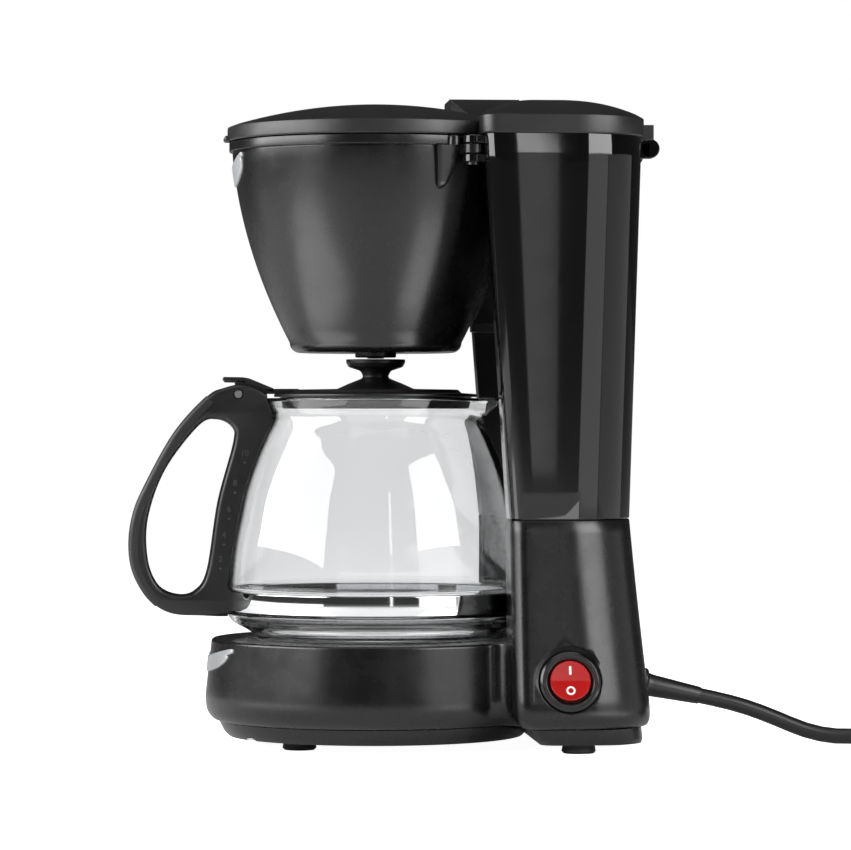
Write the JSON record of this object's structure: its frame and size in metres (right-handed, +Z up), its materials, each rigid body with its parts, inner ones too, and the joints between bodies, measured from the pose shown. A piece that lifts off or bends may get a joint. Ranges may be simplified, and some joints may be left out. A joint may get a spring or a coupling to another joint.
{
  "type": "drip coffee maker",
  "caption": "Drip coffee maker: swing-out filter basket and hinged lid beside a tall rear water tank, glass carafe on a warming plate, rocker switch and mains cord.",
  "frame": {"origin": "on the surface the feet stand on, midway between the sides, and between the front of the carafe handle and the rear of the lid hinge; the free cord is not counted", "axes": "+Z up; the carafe handle points to -Y; the water tank is towards +Y; the switch is on the +X side"},
  "size_m": [0.1791, 0.3809, 0.2503],
  "materials": {
    "black_body": "satin black moulded polypropylene",
    "black_tank": "polished black polypropylene",
    "black_lid": "fine-textured black polypropylene",
    "black_handle": "matte black nylon",
    "grip_rubber": "soft black elastomer",
    "foot_rubber": "matt black rubber",
    "plate_coating": "dark non-stick coating on pressed steel",
    "seal_silicone": "silicone rubber",
    "hose_silicone": "translucent silicone rubber",
    "heater_alloy": "cast aluminium",
    "element_steel": "sheathed element",
    "bright_steel": "zinc plated or stainless steel",
    "band_steel": "polished stainless steel",
    "badge_silver": "metallised plastic",
    "ceramic": "heat resistant moulding",
    "white_plastic": "natural polypropylene",
    "brass_terminal": "brass",
    "wire_brown": "silicone insulated wire",
    "wire_blue": "silicone insulated wire",
    "rocker_red": "translucent red, white marks",
    "switch_black": "glossy black nylon",
    "filter_plastic": "black polypropylene",
    "filter_gauze": "woven nylon gauze",
    "carafe_glass": "clear borosilicate glass",
    "cord_rubber": "black pvc",
    "pin_metal": "nickel plated brass"
  },
  "bodies": {
    "machine": {"base_housing": "black_body", "bottom_cover": "black_body", "rubber_feet": "foot_rubber", "bottom_screws": "bright_steel", "warming_plate": "plate_coating", "plate_seal": "seal_silicone", "heater_water_tube": "heater_alloy", "heating_element": "element_steel", "heater_clamp": "bright_steel", "clamp_nut": "bright_steel", "thermostat": "ceramic", "thermal_fuse": "ceramic", "check_valve": "white_plastic", "inlet_hose": "hose_silicone", "outlet_hose": "hose_silicone", "riser_tube": "white_plastic", "riser_grommet": "seal_silicone", "water_tank": "black_tank", "tank_screws": "bright_steel", "hot_water_spout": "white_plastic", "water_spreader": "white_plastic", "switch_bezel": "switch_black", "switch_body": "switch_black", "switch_terminals": "brass_terminal", "live_wire": "wire_brown", "heater_wire": "wire_blue", "base_badge": "badge_silver", "basket_pivot_pin": "bright_steel", "basket_stop": "black_body", "lid_hinge_pin": "bright_steel", "strain_relief": "cord_rubber", "cord_tube": "cord_rubber", "cord_coil": "cord_rubber", "plug_body": "cord_rubber", "plug_pins": "pin_metal"},
    "top_lid": {"top_lid": "black_lid", "lid_beak": "black_lid", "lid_hinge": "black_lid"},
    "basket": {"filter_basket": "black_body", "basket_badge": "badge_silver", "filter_frame": "filter_plastic", "filter_mesh": "filter_gauze", "filter_handle": "filter_plastic", "valve_cage": "filter_plastic"},
    "drip_valve": {"drip_valve": "white_plastic", "valve_seal": "seal_silicone", "valve_spring": "bright_steel"},
    "carafe": {"carafe_glass": "carafe_glass", "carafe_band": "band_steel", "band_screw": "bright_steel", "carafe_handle": "black_handle", "handle_grip": "grip_rubber", "carafe_lid": "black_handle", "carafe_lid_pin": "bright_steel"},
    "rocker": {"rocker": "rocker_red"}
  },
  "joints": [
    {"name": "lid_hinge", "type": "hinge", "parent": "machine", "child": "top_lid", "pos_m": [0, 0.0983, 0.2305], "axis": [-1, 0, 0], "range_deg": [0, 95]},
    {"name": "basket_swing", "type": "hinge", "parent": "machine", "child": "basket", "pos_m": [0.052, 0.0275, 0.228], "axis": [0, 0, 1], "range_deg": [0, 85]},
    {"name": "valve_slide", "type": "slide", "parent": "basket", "child": "drip_valve", "axis": [0, 0, 1], "range_m": [0, 0.0025], "stiffness_N_per_m": 200, "springref_m": -0.001, "deforming": ["valve_spring"]},
    {"name": "carafe_slide", "type": "slide", "parent": "machine", "child": "carafe", "axis": [0, -1, 0], "range_m": [0, 0.14]},
    {"name": "rocker_tilt", "type": "hinge", "parent": "machine", "child": "rocker", "pos_m": [0.06397, 0.0627, 0.0274], "axis": [0, 1, 0], "range_deg": [0, 12]}
  ]
}
